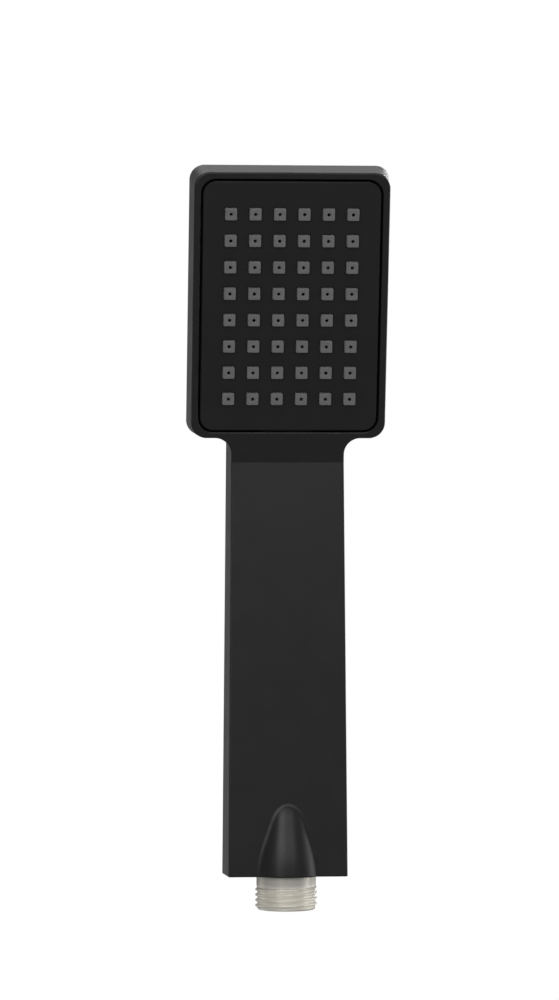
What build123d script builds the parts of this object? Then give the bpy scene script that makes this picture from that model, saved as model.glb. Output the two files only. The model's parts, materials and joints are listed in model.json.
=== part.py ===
from build123d import *

import os
from math import atan2, cos, degrees, hypot, radians, sin, tan

# Handheld shower head: a rectangular spray head that leans forward on a flat, tapered handle.
# The origin lies on the hose thread's axis, in the end face of the thread. +Z runs up the handle,
# -Y is the side that sprays, +X is to the right of someone who faces the spray. Millimetres.

os.makedirs("parts", exist_ok=True)

# ---------------------------------------------------------------- driving dimensions
# Handle: a flat tapered bar whose side walls open slightly towards the back
BASE_Z = 11.5  # underside of the handle
CREASE_Z = 151.25  # the front face bends forward here
BASE_HALF_WIDTH, CREASE_HALF_WIDTH = 20.2, 19.1  # of the front face
BASE_HALF_DEPTH, CREASE_HALF_DEPTH = 7.7, 5.25
DRAFT = 1.0  # each side wall stands this much further out at the back than at the front

# Head: a rounded rectangle on a plane that leans forward, measured up that plane from the crease
TILT = 12.0
HEAD_DEPTH = 11.5
HEAD_LOW, HEAD_TOP = 8.3, 98.5
HEAD_HALF_WIDTH = 32.8
HEAD_CORNER, HEAD_BACK_CORNER = 5.4, 5.0
NECK_FILLET, NECK_BACK_FILLET = 5.6, 3.0
OVERRUN = 6.0  # tools that cut the neck run this far past the crease
OVERLAP = 1.0  # other cutting tools run this far past the faces they cut
FRONT_EDGE, BACK_EDGE, BASE_EDGE = 0.6, 0.5, 0.4  # radii of the outer edges

# Boss that holds the inlet: a bullet shape round the thread's axis, as radii and heights
BOSS_PROFILE = ((12.3, BASE_Z), (11.65, 18.4), (9.85, 26.6), (7.75, 34.8), (5.4, 38.6))
BOSS_TIP_LOW_Z, BOSS_TIP_HIGH_Z = 34.0, 38.0  # it leaves the handle's faces between these
BOSS_FILLET = 2.2

# Shell and the cover let into its back
WALL = 2.0
CAVITY_SIDE = 2.4  # side wall at the front of the handle
POCKET_LOW_Z = 13.5
COVER_THICK = 2.0
COVER_INSET = 1.7  # from the outer back edge to the joint line
COVER_GAP = 0.15
COVER_LOW_Z = 40.0
RIB_LENGTH, RIB_THICK, RIB_REACH = 5.0, 1.2, 3.0
RIB_HEIGHTS = (55.0, 85.0, 115.0, 140.0)

# Spray plate, mat and chamber, as depths behind the rim's plane
PLATE_UP = 53.2  # middle of the plate
PLATE_HALF_WIDTH, PLATE_HALF_HEIGHT, PLATE_CORNER = 29.85, 42.3, 4.5
GROOVE = 0.6
PLATE_BEVEL, RIM_BEVEL = 0.35, 0.3  # either side of the groove
PLATE_BACK, MAT_BACK, DISTRIBUTOR_BACK, SEAL_BACK = 2.0, 3.2, 4.7, 5.6
FLANGE_BACK, LEDGE_FRONT = 7.6, 7.7
CHAMBER_BACK, PAN_BACK = 7.9, 9.2
SKIRT_WALL, SKIRT_BACK = 1.2, 5.5
MAT_HALF_WIDTH, MAT_HALF_HEIGHT, MAT_CORNER = 23.9, 35.0, 2.0
SEAL_WIDTH = 1.5
PAN_WALL = 1.3
FLANGE_INSET = 0.3
LEDGE_GAP = 0.3
COLUMNS, ROWS = 6, 8
PITCH_ACROSS, PITCH_UP = 8.18, 8.94
NOZZLE_BASE, NOZZLE_TIP, NOZZLE_PROUD = 4.1, 3.7, 1.5
WINDOW = 4.3
JET_RADIUS, FEED_RADIUS = 0.5, 1.1

# Chamber screws: four at the corners of the mat and one half-way up each side
SCREW_ACROSS, SCREW_UP = 26.4, 36.5
SCREW_RADIUS, SCREW_HEAD_RADIUS, SCREW_TIP = 1.1, 2.1, 2.8
HOLE_RADIUS, PILOT_RADIUS, POST_RADIUS = 1.25, 1.12, 2.3
SINK_RADIUS, LEDGE_DRILL = 2.35, 3.0
SCREW_SINK, PILOT_SPARE = 0.1, 0.2  # heads below the ledge, and pilot holes past the tips
RECESS_LENGTH, RECESS_WIDTH, RECESS_DEEP = 2.2, 0.45, 0.7

# Flat water duct and its sockets
DUCT_WIDTH, DUCT_THICK, DUCT_WALL = 14.0, 5.4, 1.0
DUCT_LOW_Z, DUCT_TOP = 31.8, 10.3
DUCT_DEPTH = 5.75  # of its centre line behind the rim's plane
DUCT_BEND = 18.0
SOCKET_GAP = 0.05
FACE_SEAL = 0.8
PAN_SOCKET_LOW, PAN_SOCKET_HALF_WIDTH = 4.0, 8.4
PAN_SOCKET_FRONT, PAN_SOCKET_BACK, PAN_SOCKET_TOP = 2.1, 9.4, 17.8
PASSAGE_HALF_WIDTH, PASSAGE_FRONT, PASSAGE_STEP = 6.0, 4.6, 5.9

# Inlet connector, G 1/2
THREAD_RADIUS, THREAD_ROOT, THREAD_PITCH = 10.4775, 9.3155, 1.814
CREST_FLAT, FLANK_ANGLE = 0.36, 27.5
CRESTS, LAST_CREST = 4, 7.706
LEAD_IN_RADIUS, LEAD_IN = 9.7, 0.5
NECK_RADIUS = 10.05
SHANK_RADIUS, SHANK_LOW_Z, SHANK_TOP_Z = 8.8, 13.0, 25.0
KNURL_RADIUS, KNURL_LOW_Z, KNURL_TOP_Z = 8.95, 14.0, 18.0
MOUTH_RADIUS, MOUTH_TOP_Z, MOUTH_BEVEL = 7.2, 8.4, 0.4
CARTRIDGE_BORE, CARTRIDGE_TOP_Z, OUTLET_RADIUS = 6.4, 21.2, 5.2
COLLAR_BORE, COLLAR_RADIUS, COLLAR_TOP_Z, COLLAR_ROOF_Z = 8.9, 10.9, 28.0, 30.0
NECK_BORE = 10.15

# Round-to-flat adapter above the connector
ADAPTER_LOW_Z, ADAPTER_FLANGE_Z, ADAPTER_TOP_Z = 25.05, 27.9, 37.6
ADAPTER_WIDTH, ADAPTER_THICK = 16.8, 8.2
ROOF_GAP = 0.1

# Strainer, flow limiter and backflow preventer inside the connector
STRAINER_RADIUS, STRAINER_INNER, STRAINER_LOW_Z, STRAINER_TOP_Z = 7.15, 6.0, 4.4, 5.6
MESH_LOW_Z, MESH_THICK, MESH_HOLE, MESH_PITCH = 4.8, 0.3, 1.0, 1.5
LIMITER_RADIUS, LIMITER_LOW_Z, LIMITER_TOP_Z = 7.1, 5.7, 8.3
LIMITER_GROOVE_IN, LIMITER_GROOVE_OUT, LIMITER_FLOOR_Z = 2.9, 5.1, 7.4
LIMITER_PORTS, LIMITER_PORT_RADIUS = 10, 0.6
RING_RADIUS, RING_SECTION = 4.0, 0.75
VALVE_RADIUS, VALVE_LOW_Z, VALVE_TOP_Z = 6.3, 8.45, 20.9
SEAT_RADIUS, SEAT_Z, CHAMBER_RADIUS = 3.6, 11.2, 5.3
VALVE_GROOVE_LOW_Z, VALVE_GROOVE_TOP_Z, VALVE_GROOVE_ROOT = 9.2, 10.6, 5.3
POPPET_RADIUS, POPPET_NOSE, POPPET_FACE_Z, POPPET_BACK_Z = 4.6, 2.9, 11.9, 13.0
NOSE_LOW_Z, STEM_RADIUS, STEM_TOP_Z = 10.3, 1.2, 19.8
NOSE_BEVEL_IN, NOSE_BEVEL_UP = 0.9, 0.7
GUIDE_LOW_Z, GUIDE_TOP_Z, GUIDE_BORE, GUIDE_WALL, GUIDE_SPOKE = 17.6, 19.4, 1.25, 1.0, 1.2
SPRING_RADIUS, SPRING_WIRE, SPRING_TURNS = 2.2, 0.2, 4.5

# O-rings: groove edges, and how much smaller the ring is than its gland
CONNECTOR_GROOVE_LOW_Z, CONNECTOR_GROOVE_TOP_Z, CONNECTOR_GROOVE_ROOT = 19.4, 21.6, 7.35
ADAPTER_GROOVE_LOW_Z, ADAPTER_GROOVE_TOP_Z, ADAPTER_GROOVE_ROOT = 25.8, 27.3, 7.7
RING_EASE = 0.01

# How close an edge lies to a depth to count as being at it, and edges this near the crease are
# left sharp
NEAR, FRONT_CREASE_CLEAR, BACK_CREASE_CLEAR = 0.02, 0.5, 4.0


# ---------------------------------------------------------------- planes and profiles
lean = radians(TILT)
head_plane = Plane(
    origin=(0, -CREASE_HALF_DEPTH, CREASE_Z),
    x_dir=(1, 0, 0),
    z_dir=(0, -cos(lean), -sin(lean)),
)
outward = Axis((0, 0, 0), head_plane.z_dir)


def head_at(depth):
    """The plane this far behind the rim. Its y axis runs up the head from the crease."""
    return head_plane.offset(-depth)


def head_point(up, depth):
    """Y and Z of a point in the middle of the head, up the plane and behind the rim."""
    y = -CREASE_HALF_DEPTH - up * sin(lean) + depth * cos(lean)
    z = CREASE_Z + up * cos(lean) + depth * sin(lean)
    return y, z


def handle_half_width(z):
    """Half the width of the handle's front face at this height."""
    share = (z - BASE_Z) / (CREASE_Z - BASE_Z)
    return BASE_HALF_WIDTH + share * (CREASE_HALF_WIDTH - BASE_HALF_WIDTH)


def handle_half_depth(z):
    """Half the thickness of the handle at this height."""
    share = (z - BASE_Z) / (CREASE_Z - BASE_Z)
    return BASE_HALF_DEPTH + share * (CREASE_HALF_DEPTH - BASE_HALF_DEPTH)


# The handle's back plane meets the head's back plane in a second crease, above the front one
back_slope = (BASE_HALF_DEPTH - CREASE_HALF_DEPTH) / (CREASE_Z - BASE_Z)
head_back_y, head_back_z = head_point(0, HEAD_DEPTH)
climb = (head_back_y - handle_half_depth(head_back_z)) / (tan(lean) - back_slope)
back_crease_z = head_back_z + climb
crease_run = handle_half_depth(back_crease_z) + CREASE_HALF_DEPTH
crease_rise = back_crease_z - CREASE_Z
crease_length = hypot(crease_run, crease_rise)
crease_plane = Plane(
    origin=(0, -CREASE_HALF_DEPTH, CREASE_Z),
    x_dir=(1, 0, 0),
    z_dir=(0, -crease_rise, crease_run),
)


def wedge(plane, low_half, high_half, low, high):
    """A four-sided face whose half width goes from low_half at y = low to high_half at y = high."""
    with BuildSketch(plane) as face:
        with BuildLine():
            Polyline(
                (-low_half, low),
                (low_half, low),
                (high_half, high),
                (-high_half, high),
                close=True,
            )
        make_face()
    return face.sketch


def head_outline(depth, inset=0.0):
    """Outline of head and neck at this depth, drawn in from the outer surface by inset."""
    share = depth / HEAD_DEPTH
    grow = DRAFT * share - inset
    corner = HEAD_CORNER + share * (HEAD_BACK_CORNER - HEAD_CORNER) - inset
    hollow = NECK_FILLET + share * (NECK_BACK_FILLET - NECK_FILLET) + inset
    side = HEAD_HALF_WIDTH + grow
    neck = CREASE_HALF_WIDTH + grow
    low = HEAD_LOW - grow
    high = HEAD_TOP + grow
    with BuildSketch(head_at(depth)) as outline:
        with BuildLine():
            Polyline(
                (-neck, -OVERRUN),
                (-neck, low),
                (-side, low),
                (-side, high),
                (side, high),
                (side, low),
                (neck, low),
                (neck, -OVERRUN),
                close=True,
            )
        make_face()
        above = outline.vertices().filter_by_position(Axis.Y, low - 1, high + 1)
        fillet([v for v in above if abs(v.X) > side - 1], corner)
        above = outline.vertices().filter_by_position(Axis.Y, low - 1, low + 1)
        fillet([v for v in above if abs(v.X) < neck + 1], hollow)
    return outline.sketch


def plate_outline(depth, half_width, half_height, corner):
    """A rounded rectangle centred on the spray plate, at this depth."""
    with BuildSketch(head_at(depth)) as outline:
        with Locations((0, PLATE_UP)):
            RectangleRounded(2 * half_width, 2 * half_height, corner)
    return outline.sketch


def head_block(depth_front, depth_back, half_width, low, high):
    """A box in the head's own directions."""
    with BuildPart(mode=Mode.PRIVATE) as block:
        with BuildSketch(head_at(depth_back)):
            with Locations((0, (low + high) / 2)):
                Rectangle(2 * half_width, high - low)
        extrude(amount=depth_back - depth_front)
    return block.part


def nozzle_places():
    """The nozzle centres as points on a plane of the head."""
    across = [(i - (COLUMNS - 1) / 2) * PITCH_ACROSS for i in range(COLUMNS)]
    up = [(i - (ROWS - 1) / 2) * PITCH_UP + PLATE_UP for i in range(ROWS)]
    return [(x, y) for x in across for y in up]


def edges_at_depth(edges, depth, above):
    """Those edges of the head that lie this far behind the rim, and higher up than above."""
    local = [(edge, head_plane.to_local_coords(edge.center())) for edge in edges]
    return [edge for edge, at in local if abs(at.Z + depth) < NEAR and at.Y > above]


def screw_places():
    """The chamber screws' centres as points on a plane of the head."""
    rows = (PLATE_UP - SCREW_UP, PLATE_UP, PLATE_UP + SCREW_UP)
    return [(x, y) for x in (-SCREW_ACROSS, SCREW_ACROSS) for y in rows]


def o_ring(groove_root, gland_radius, low, high):
    """A ring of round section that fills a groove from its root to the wall round it."""
    section = (gland_radius - groove_root) / 2 - RING_EASE
    with BuildPart() as ring:
        with Locations((0, 0, (low + high) / 2)):
            Torus((gland_radius + groove_root) / 2, section)
    return ring


# ---------------------------------------------------------------- body shell
cover_front = HEAD_DEPTH - COVER_THICK
opening_half_width = PLATE_HALF_WIDTH + GROOVE
opening_half_height = PLATE_HALF_HEIGHT + GROOVE
pan_half_width = MAT_HALF_WIDTH - SEAL_WIDTH + PAN_WALL
pan_half_height = MAT_HALF_HEIGHT - SEAL_WIDTH + PAN_WALL

# The hollow of the lower end, beside a collar that holds the inlet connector and the adapter
pocket_ends = [
    wedge(
        Plane.XY.offset(z),
        handle_half_width(z) - CAVITY_SIDE,
        handle_half_width(z) - CAVITY_SIDE,
        -handle_half_depth(z) + WALL,
        handle_half_depth(z) - WALL,
    )
    for z in (POCKET_LOW_Z, COVER_LOW_Z)
]
with BuildPart() as pocket:
    loft(pocket_ends, ruled=True)
    with BuildSketch(Plane.XY):
        Circle(COLLAR_RADIUS)
    extrude(amount=COLLAR_ROOF_Z, mode=Mode.SUBTRACT)

with BuildPart() as body_shell:
    # Head and neck, cut where they meet the handle
    loft([head_outline(0), head_outline(HEAD_DEPTH)], ruled=True)
    split(bisect_by=crease_plane, keep=Keep.TOP)
    # Handle, from its underside up to the two creases
    foot = wedge(
        Plane.XY.offset(BASE_Z),
        BASE_HALF_WIDTH,
        BASE_HALF_WIDTH + DRAFT,
        -BASE_HALF_DEPTH,
        BASE_HALF_DEPTH,
    )
    shoulder = wedge(crease_plane, CREASE_HALF_WIDTH, CREASE_HALF_WIDTH + DRAFT, 0, crease_length)
    loft([foot, shoulder], ruled=True)
    # Boss
    with BuildSketch(Plane.XZ):
        with BuildLine():
            flank = Spline(*BOSS_PROFILE)
            Polyline(flank @ 1, (0, (flank @ 1).Y), (0, BASE_Z), flank @ 0)
        make_face()
    revolve(axis=Axis.Z)
    # Rounded edges; the front crease stays crisp
    boss_joins = [
        edge
        for edge in body_shell.edges()
        if BOSS_TIP_LOW_Z < edge.bounding_box().max.Z < BOSS_TIP_HIGH_Z
    ]
    fillet(boss_joins, BOSS_FILLET)
    long_edges = body_shell.edges().filter_by(lambda edge: edge.length > CREASE_Z - 2 * BASE_Z)
    front_long = [edge for edge in long_edges if edge.center().Y < 0]
    fillet(
        front_long + edges_at_depth(body_shell.edges(), 0, FRONT_CREASE_CLEAR), FRONT_EDGE
    )
    long_edges = body_shell.edges().filter_by(lambda edge: edge.length > CREASE_Z - 2 * BASE_Z)
    back_long = [edge for edge in long_edges if edge.center().Y > BASE_HALF_DEPTH / 2]
    fillet(
        back_long + edges_at_depth(body_shell.edges(), HEAD_DEPTH, BACK_CREASE_CLEAR),
        BACK_EDGE,
    )
    fillet(body_shell.faces().sort_by(Axis.Z)[0].edges(), BASE_EDGE)
    # Cavity of the handle, open at the back, with a wider step for the cover
    cavity_half = [handle_half_width(z) - CAVITY_SIDE for z in (COVER_LOW_Z, back_crease_z)]
    cavity_depth = [handle_half_depth(z) - WALL for z in (COVER_LOW_Z, back_crease_z)]
    step_half = [handle_half_width(z) + DRAFT - COVER_INSET for z in (COVER_LOW_Z, back_crease_z)]
    cavity_ends = [
        wedge(Plane.XY.offset(z), half, half, -depth, depth + 2 * WALL)
        for z, half, depth in zip((COVER_LOW_Z, back_crease_z), cavity_half, cavity_depth)
    ]
    step_ends = [
        wedge(Plane.XY.offset(z), half, half, depth, depth + 2 * WALL)
        for z, half, depth in zip((COVER_LOW_Z, back_crease_z), step_half, cavity_depth)
    ]
    loft(cavity_ends, ruled=True, mode=Mode.SUBTRACT)
    loft(step_ends, ruled=True, mode=Mode.SUBTRACT)
    # Neck channel, window for the spray plate, ledge for the pan, and the cover's step in the head
    neck_half = CREASE_HALF_WIDTH - CAVITY_SIDE
    add(
        head_block(
            WALL, cover_front, neck_half, -OVERRUN, PLATE_UP - opening_half_height + OVERLAP
        ),
        mode=Mode.SUBTRACT,
    )
    add(
        head_block(
            LEDGE_FRONT, cover_front, neck_half, 0, PLATE_UP - pan_half_height + OVERLAP
        ),
        mode=Mode.SUBTRACT,
    )
    window = plate_outline(
        LEDGE_FRONT, opening_half_width, opening_half_height, PLATE_CORNER + GROOVE
    )
    extrude(window, amount=LEDGE_FRONT + OVERLAP, mode=Mode.SUBTRACT)
    ledge_window = plate_outline(
        cover_front, pan_half_width + LEDGE_GAP, pan_half_height + LEDGE_GAP, MAT_CORNER
    )
    extrude(ledge_window, amount=WALL, mode=Mode.SUBTRACT)
    loft(
        [
            head_outline(cover_front, COVER_INSET),
            head_outline(HEAD_DEPTH + OVERLAP, COVER_INSET),
        ],
        ruled=True,
        mode=Mode.SUBTRACT,
    )
    with Locations(head_at(cover_front).rotated((180, 0, 0))):
        with Locations([(x, -y) for x, y in screw_places()]):
            CounterSinkHole(HOLE_RADIUS, SINK_RADIUS, depth=LEDGE_DRILL, counter_sink_angle=90)
    # Lower end, with stepped bores for the connector's neck, its shank and the adapter
    add(pocket.part, mode=Mode.SUBTRACT)
    with BuildSketch(Plane.XY.offset(BASE_Z)):
        Circle(NECK_BORE)
    extrude(amount=SHANK_LOW_Z - BASE_Z, mode=Mode.SUBTRACT)
    with BuildSketch(Plane.XY.offset(SHANK_LOW_Z)):
        Circle(COLLAR_BORE)
    extrude(amount=COLLAR_TOP_Z - SHANK_LOW_Z, mode=Mode.SUBTRACT)
    with BuildSketch(Plane.XY.offset(COLLAR_TOP_Z)):
        SlotOverall(ADAPTER_WIDTH + 2 * ROOF_GAP, ADAPTER_THICK + 2 * ROOF_GAP)
    extrude(amount=COVER_LOW_Z - COLLAR_TOP_Z, mode=Mode.SUBTRACT)
    # Fine bevel round the window, facing the plate's own
    rim_edges = edges_at_depth(body_shell.edges(), 0, PLATE_UP - opening_half_height - RIM_BEVEL)
    rim_span = opening_half_width + RIM_BEVEL
    rim_top = PLATE_UP + opening_half_height + RIM_BEVEL
    chamfer(
        [
            edge
            for edge in rim_edges
            if abs(edge.center().X) < rim_span
            and head_plane.to_local_coords(edge.center()).Y < rim_top
        ],
        RIM_BEVEL,
    )
body_shell.part.label = "body_shell"
export_step(body_shell.part, "parts/body_shell.step")


# ---------------------------------------------------------------- rear cover
cover_low = COVER_LOW_Z + COVER_GAP
cover_inset = COVER_INSET + COVER_GAP
cover_foot_half = handle_half_width(cover_low) + DRAFT - cover_inset
cover_neck_half = CREASE_HALF_WIDTH + DRAFT - cover_inset
crease_share = COVER_THICK * crease_length / (crease_run + back_slope * crease_rise)

with BuildPart() as rear_cover:
    loft(
        [head_outline(cover_front, cover_inset), head_outline(HEAD_DEPTH, cover_inset)],
        ruled=True,
    )
    split(bisect_by=crease_plane, keep=Keep.TOP)
    strip_foot = wedge(
        Plane.XY.offset(cover_low),
        cover_foot_half,
        cover_foot_half,
        handle_half_depth(cover_low) - COVER_THICK,
        handle_half_depth(cover_low),
    )
    strip_top = wedge(
        crease_plane,
        cover_neck_half,
        cover_neck_half,
        crease_length - crease_share,
        crease_length,
    )
    loft([strip_foot, strip_top], ruled=True)
    # Ribs that locate the cover between the side walls of the handle
    for z in RIB_HEIGHTS:
        reach = handle_half_width(z) - CAVITY_SIDE - COVER_GAP - RIB_THICK / 2
        back = handle_half_depth(z) - COVER_THICK / 2
        for side in (-1, 1):
            with Locations((side * reach, back - RIB_REACH / 2, z)):
                Box(RIB_THICK, RIB_REACH, RIB_LENGTH)
rear_cover.part.label = "rear_cover"
export_step(rear_cover.part, "parts/rear_cover.step")


# ---------------------------------------------------------------- spray plate
with BuildPart() as face_plate:
    extrude(
        plate_outline(PLATE_BACK, PLATE_HALF_WIDTH, PLATE_HALF_HEIGHT, PLATE_CORNER),
        amount=PLATE_BACK,
    )
    chamfer(face_plate.faces().sort_by(outward)[-1].edges(), PLATE_BEVEL)
    # Skirt round the back, and posts for the chamber screws
    with BuildSketch(head_at(SKIRT_BACK)):
        with Locations((0, PLATE_UP)):
            RectangleRounded(2 * PLATE_HALF_WIDTH, 2 * PLATE_HALF_HEIGHT, PLATE_CORNER)
            RectangleRounded(
                2 * (PLATE_HALF_WIDTH - SKIRT_WALL),
                2 * (PLATE_HALF_HEIGHT - SKIRT_WALL),
                PLATE_CORNER - SKIRT_WALL,
                mode=Mode.SUBTRACT,
            )
        with Locations(screw_places()):
            Circle(POST_RADIUS)
    extrude(amount=SKIRT_BACK - PLATE_BACK)
    with BuildSketch(head_at(SKIRT_BACK)):
        with Locations(screw_places()):
            Circle(PILOT_RADIUS)
    extrude(amount=SKIRT_BACK - SCREW_TIP + PILOT_SPARE, mode=Mode.SUBTRACT)
    # Gap in the skirt where the pan's socket comes in
    add(
        head_block(
            PLATE_BACK,
            SKIRT_BACK,
            PAN_SOCKET_HALF_WIDTH + LEDGE_GAP,
            PLATE_UP - PLATE_HALF_HEIGHT - OVERLAP,
            PLATE_UP - PLATE_HALF_HEIGHT + SKIRT_WALL + OVERLAP,
        ),
        mode=Mode.SUBTRACT,
    )
    # Windows for the nozzles
    with BuildSketch(head_at(PLATE_BACK)):
        with Locations(nozzle_places()):
            Rectangle(WINDOW, WINDOW)
    extrude(amount=PLATE_BACK, mode=Mode.SUBTRACT)
face_plate.part.label = "face_plate"
export_step(face_plate.part, "parts/face_plate.step")


# ---------------------------------------------------------------- silicone mat with its nozzles
nozzle_taper = degrees(atan2((NOZZLE_BASE - NOZZLE_TIP) / 2, PLATE_BACK + NOZZLE_PROUD))
with BuildPart() as nozzle_mat:
    extrude(
        plate_outline(MAT_BACK, MAT_HALF_WIDTH, MAT_HALF_HEIGHT, MAT_CORNER),
        amount=MAT_BACK - PLATE_BACK,
    )
    with BuildSketch(head_at(PLATE_BACK)):
        with Locations(nozzle_places()):
            Rectangle(NOZZLE_BASE, NOZZLE_BASE)
    extrude(amount=PLATE_BACK + NOZZLE_PROUD, taper=nozzle_taper)
    # Each nozzle is hollow: a wide feed from behind, then the narrow jet hole
    with BuildSketch(head_at(MAT_BACK)):
        with Locations(nozzle_places()):
            Circle(FEED_RADIUS)
    extrude(amount=MAT_BACK, mode=Mode.SUBTRACT)
    with BuildSketch(head_plane):
        with Locations(nozzle_places()):
            Circle(JET_RADIUS)
    extrude(amount=NOZZLE_PROUD, mode=Mode.SUBTRACT)
nozzle_mat.part.label = "nozzle_mat"
export_step(nozzle_mat.part, "parts/nozzle_mat.step")


# ---------------------------------------------------------------- distributor plate
with BuildPart() as distributor_plate:
    extrude(
        plate_outline(DISTRIBUTOR_BACK, MAT_HALF_WIDTH, MAT_HALF_HEIGHT, MAT_CORNER),
        amount=DISTRIBUTOR_BACK - MAT_BACK,
    )
    with BuildSketch(head_at(DISTRIBUTOR_BACK)):
        with Locations(nozzle_places()):
            Circle(FEED_RADIUS)
    extrude(amount=DISTRIBUTOR_BACK - MAT_BACK, mode=Mode.SUBTRACT)
distributor_plate.part.label = "distributor_plate"
export_step(distributor_plate.part, "parts/distributor_plate.step")


# ---------------------------------------------------------------- chamber gasket
chamber_half_width = MAT_HALF_WIDTH - SEAL_WIDTH
chamber_half_height = MAT_HALF_HEIGHT - SEAL_WIDTH
chamber_corner = MAT_CORNER - SEAL_WIDTH

with BuildPart() as chamber_seal:
    with BuildSketch(head_at(SEAL_BACK)):
        with Locations((0, PLATE_UP)):
            RectangleRounded(2 * MAT_HALF_WIDTH, 2 * MAT_HALF_HEIGHT, MAT_CORNER)
            RectangleRounded(
                2 * chamber_half_width,
                2 * chamber_half_height,
                chamber_corner,
                mode=Mode.SUBTRACT,
            )
    extrude(amount=SEAL_BACK - DISTRIBUTOR_BACK)
chamber_seal.part.label = "chamber_seal"
export_step(chamber_seal.part, "parts/chamber_seal.step")


# ---------------------------------------------------------------- chamber pan with duct socket
chamber_low = PLATE_UP - chamber_half_height

with BuildPart() as chamber_pan:
    extrude(
        plate_outline(
            FLANGE_BACK,
            PLATE_HALF_WIDTH - FLANGE_INSET,
            PLATE_HALF_HEIGHT - FLANGE_INSET,
            PLATE_CORNER - FLANGE_INSET,
        ),
        amount=FLANGE_BACK - SEAL_BACK,
    )
    extrude(
        plate_outline(PAN_BACK, pan_half_width, pan_half_height, MAT_CORNER),
        amount=PAN_BACK - FLANGE_BACK,
    )
    add(
        head_block(
            PAN_SOCKET_FRONT,
            PAN_SOCKET_BACK,
            PAN_SOCKET_HALF_WIDTH,
            PAN_SOCKET_LOW,
            PAN_SOCKET_TOP,
        )
    )
    extrude(
        plate_outline(CHAMBER_BACK, chamber_half_width, chamber_half_height, chamber_corner),
        amount=CHAMBER_BACK - SEAL_BACK,
        mode=Mode.SUBTRACT,
    )
    # Socket for the duct's end and its gasket, then the passage into the chamber
    socket_mouth = Plane(
        origin=(0, *head_point(PAN_SOCKET_LOW, DUCT_DEPTH)),
        x_dir=(1, 0, 0),
        z_dir=(0, -sin(lean), cos(lean)),
    )
    with BuildSketch(socket_mouth):
        SlotOverall(DUCT_WIDTH + 2 * SOCKET_GAP, DUCT_THICK + 2 * SOCKET_GAP)
    extrude(amount=DUCT_TOP + FACE_SEAL - PAN_SOCKET_LOW, mode=Mode.SUBTRACT)
    passage_low = DUCT_TOP + FACE_SEAL
    passage_turn = PAN_SOCKET_TOP - SEAL_WIDTH
    add(
        head_block(PASSAGE_FRONT, CHAMBER_BACK, PASSAGE_HALF_WIDTH, passage_low, passage_turn),
        mode=Mode.SUBTRACT,
    )
    add(
        head_block(
            PASSAGE_STEP, CHAMBER_BACK, PASSAGE_HALF_WIDTH, passage_low, chamber_low + OVERLAP
        ),
        mode=Mode.SUBTRACT,
    )
    with BuildSketch(head_at(FLANGE_BACK)):
        with Locations(screw_places()):
            Circle(HOLE_RADIUS)
    extrude(amount=FLANGE_BACK - SEAL_BACK, mode=Mode.SUBTRACT)
chamber_pan.part.label = "chamber_pan"
export_step(chamber_pan.part, "parts/chamber_pan.step")


# ---------------------------------------------------------------- chamber screws
screw_seat = cover_front - SCREW_SINK
cone_height = SCREW_HEAD_RADIUS - SCREW_RADIUS

with BuildPart() as chamber_screws:
    with BuildSketch(head_at(screw_seat)):
        with Locations(screw_places()):
            Circle(SCREW_HEAD_RADIUS)
    extrude(amount=cone_height, taper=45)
    with BuildSketch(head_at(screw_seat)):
        with Locations(screw_places()):
            Circle(SCREW_RADIUS)
    extrude(amount=screw_seat - SCREW_TIP)
    with BuildSketch(head_at(screw_seat)):
        with Locations(screw_places()):
            Rectangle(RECESS_LENGTH, RECESS_WIDTH)
            Rectangle(RECESS_WIDTH, RECESS_LENGTH)
    extrude(amount=RECESS_DEEP, mode=Mode.SUBTRACT)
chamber_screws.part.label = "chamber_screws"
export_step(chamber_screws.part, "parts/chamber_screws.step")


# ---------------------------------------------------------------- flat supply duct and its gaskets
bend_up = (DUCT_DEPTH * cos(lean) - CREASE_HALF_DEPTH) / sin(lean)
duct_line = [(0, DUCT_LOW_Z), head_point(bend_up, DUCT_DEPTH), head_point(DUCT_TOP, DUCT_DEPTH)]

with BuildPart() as supply_duct:
    with BuildLine(Plane.YZ):
        FilletPolyline(*duct_line, radius=DUCT_BEND)
    with BuildSketch(Plane.XY.offset(DUCT_LOW_Z)):
        SlotOverall(DUCT_WIDTH, DUCT_THICK)
        SlotOverall(DUCT_WIDTH - 2 * DUCT_WALL, DUCT_THICK - 2 * DUCT_WALL, mode=Mode.SUBTRACT)
    sweep()
supply_duct.part.label = "supply_duct"
export_step(supply_duct.part, "parts/supply_duct.step")


def duct_gasket(plane):
    """A flat ring with the duct's own section, on this plane."""
    with BuildPart() as gasket:
        with BuildSketch(plane):
            SlotOverall(DUCT_WIDTH, DUCT_THICK)
            SlotOverall(
                DUCT_WIDTH - 2 * DUCT_WALL,
                DUCT_THICK - 2 * DUCT_WALL,
                mode=Mode.SUBTRACT,
            )
        extrude(amount=FACE_SEAL)
    return gasket


duct_lower_seal = duct_gasket(Plane.XY.offset(DUCT_LOW_Z - FACE_SEAL))
duct_lower_seal.part.label = "duct_lower_seal"
export_step(duct_lower_seal.part, "parts/duct_lower_seal.step")

duct_end = Plane(
    origin=(0, *head_point(DUCT_TOP, DUCT_DEPTH)),
    x_dir=(1, 0, 0),
    z_dir=(0, -sin(lean), cos(lean)),
)
duct_upper_seal = duct_gasket(duct_end)
duct_upper_seal.part.label = "duct_upper_seal"
export_step(duct_upper_seal.part, "parts/duct_upper_seal.step")


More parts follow.
